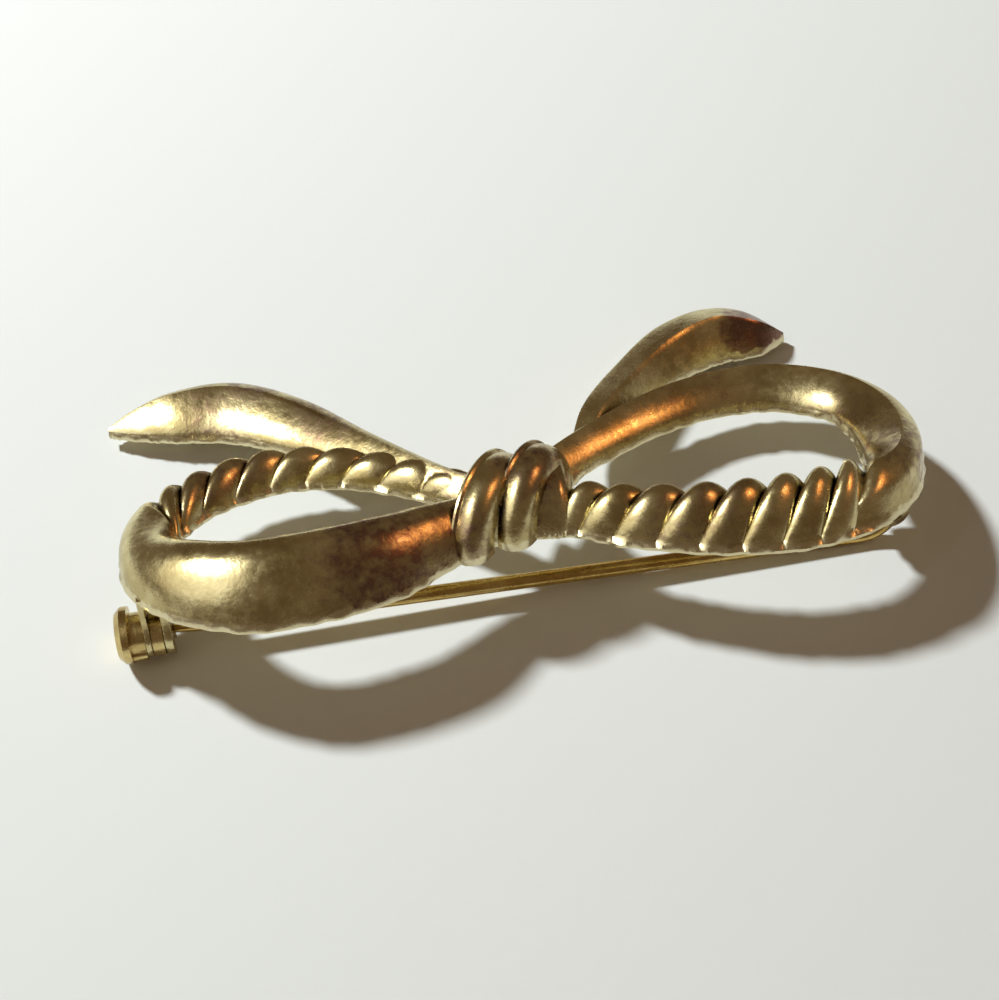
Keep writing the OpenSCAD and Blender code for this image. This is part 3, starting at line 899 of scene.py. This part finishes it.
print("fittings", [len(piece.data.polygons) for piece in fittings])

# %% [markdown]
# The casting and what is soldered to it are one piece of metal. The parts could stay apart and merely
# overlap, but then walls would hide inside the metal. The union leaves one closed skin.

# %% Fuse the casting
bow = casting[0]
for other in casting[1:] + fittings:
    combine(bow, other, "UNION")
bow.name = bow.data.name = "bow_casting"
print("casting", len(bow.data.vertices), "vertices", len(bow.data.polygons), "faces")

# %% [markdown]
# The material reads three things from the mesh. Two of them follow the bow's own frame, so they are stored
# before it is laid down: how high each point is above the back, for the whitish rim that is a painted
# reflection of the floor, and how strongly it is stained or darkened as painted shade. A painted mask could
# hold the stains, but a short table of where they lie is easier to read and to change.

# %% Where the stains and the painted shade are
# Columns: x and y in the bow's own frame, radius in millimetres, and strength
# Some rows are brown tarnish. The strongest, at 19.5 and 13.0, darkens the right tail's side, and the rows
# on the left tail darken that tail: painted shade.
STAINS_AND_SHADE = np.array([
    [-9.4, -4.5, 4.5, 0.50],
    [-5.0, -3.0, 3.0, 0.40],
    [21.0, 3.0, 4.0, 0.35],
    [13.0, 8.0, 4.0, 0.25],
    [-18.0, 6.0, 4.0, 0.35],
    [19.5, 13.0, 3.5, 0.80],
    [-3.5, 3.5, 2.6, 0.30],
    [-11.0, 11.5, 3.5, 0.40],
    [-15.5, 15.6, 2.5, 0.45],
    [0.5, 0.5, 3.0, 0.42],
    [10.0, -3.5, 5.0, 0.30],
    [23.5, -1.0, 3.5, 0.38],
    [-18.5, 12.8, 3.5, 0.35],
])
print("stains", len(STAINS_AND_SHADE))

# %% [markdown]
# Each stain or patch of painted shade fades out round its middle, and where two meet the stronger one
# counts. What lies below the back, which is the hinge and the catch, gets no whitish rim, which is a painted
# reflection: its height is stored as one that the rim doesn't reach. Both are kept as attributes, one number
# for each point, because an export can still read those.

# %% Height, and stains with painted shade
STAIN_AND_SHADE_REACH = 1.4
BELOW_BACK, NO_RIM = -0.05, 2


def store(mesh, name, values):
    """Stores a number for each point of a mesh, for its material to read."""
    attribute = mesh.attributes.new(name, "FLOAT", "POINT")
    attribute.data.foreach_set("value", np.asarray(values, np.float32))


own = vectors_of(bow.data.vertices, "co") / MM
stain_and_shade = np.zeros(len(own))
for x, y, radius, strength in STAINS_AND_SHADE:
    away = np.hypot(own[:, 0] - x, own[:, 1] - y) / radius
    stain_and_shade = np.maximum(stain_and_shade, strength * ease(STAIN_AND_SHADE_REACH - away))
# The height places the painted reflection on the low rim.
store(bow.data, "height", np.where(own[:, 2] < BELOW_BACK, NO_RIM, own[:, 2]))
# This attribute carries brown tarnish and painted shade alike.
store(bow.data, "stain_and_shade", stain_and_shade)
bow.data.transform(LIE)
bow.data.update()
print("stained points", int((stain_and_shade > 0).sum()), "of", len(own))

# %% [markdown]
# The third is how closed in each point is, and the material darkens it there: painted shade, the ambient
# occlusion of grooves and corners, together with the dirt that gathers where a cloth can't reach. The
# shader's own ambient occlusion would need no code, but an exported model loses it. So a few short rays go
# out from each point of the surface, and how near they hit is stored. Rays set on a golden spiral leave no
# large gaps between them.

# %% Hollows, for painted shade and dirt
HOLLOW_REACH, HOLLOW_RAYS, SKIN = 0.9 * MM, 20, 0.01 * MM


def hemisphere(rays):
    """Directions over a half sphere, closer together near its top."""
    k = np.arange(rays)
    radius = np.sqrt((k + 0.5) / rays)
    angle = k * math.pi * (3 - math.sqrt(5))
    return np.stack([radius * np.cos(angle), radius * np.sin(angle), np.sqrt(1 - radius**2)], 1)


def mark_hollows(piece):
    """Stores how closed in each point of the surface is, from 0 in the open to 1 deep in a groove."""
    mesh = piece.data
    co, normal = vectors_of(mesh.vertices, "co"), vectors_of(mesh.vertex_normals, "vector")
    tree = BVHTree.FromPolygons([tuple(c) for c in co], [tuple(face.vertices) for face in mesh.polygons])
    # The helper axis is one that the normal doesn't point along
    helper = np.where(np.abs(normal[:, :1]) < 0.9, np.array([[1.0, 0, 0]]), np.array([[0, 1.0, 0]]))
    tangent = np.cross(normal, helper)
    tangent /= np.linalg.norm(tangent, axis=1, keepdims=True)
    other = np.cross(normal, tangent)
    starts = co + normal * SKIN
    closed = np.zeros(len(co))
    for across, along, up in hemisphere(HOLLOW_RAYS):
        ways = tangent * across + other * along + normal * up
        for i, (start, way) in enumerate(zip(starts, ways)):
            distance = tree.ray_cast(Vector(start), Vector(way), HOLLOW_REACH)[3]
            if distance is not None:
                closed[i] += 1 - distance / HOLLOW_REACH
    store(mesh, "hollow", closed / HOLLOW_RAYS)
    print(piece.name, "hollows up to", round(closed.max() / HOLLOW_RAYS, 2))


# The darkening that the material gives these hollows is painted shade, with dirt.
mark_hollows(bow)

# %% [markdown]
# Smooth shading rounds the strips of the bands, but it would also smear the crisp edges of the land and
# of the plates. Smoothing by angle keeps every edge that is sharper than the limit.

# %% Finish of the casting
CRISP_EDGE = math.radians(38)

select_only(bow)
bpy.ops.object.shade_smooth_by_angle(angle=CRISP_EDGE)
bow.data.materials.clear()
bow.data.materials.append(bow_metal)
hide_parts("bow")
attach(bow, "bow")
print(bow.name, "finished in", bow_metal.name)

# %% [markdown]
# The rivet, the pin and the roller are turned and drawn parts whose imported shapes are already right. They
# could be modelled again, but they have to fit each other as they move, so they stay and only take their
# finish.

# %% Carried-over pieces
for name, metal in (("hinge_rivet", rivet_metal), ("pin_stem", pin_metal), ("catch_roller", catch_metal)):
    nodes[name].data.materials.clear()
    nodes[name].data.materials.append(metal)
    print(name, "finished in", metal.name)
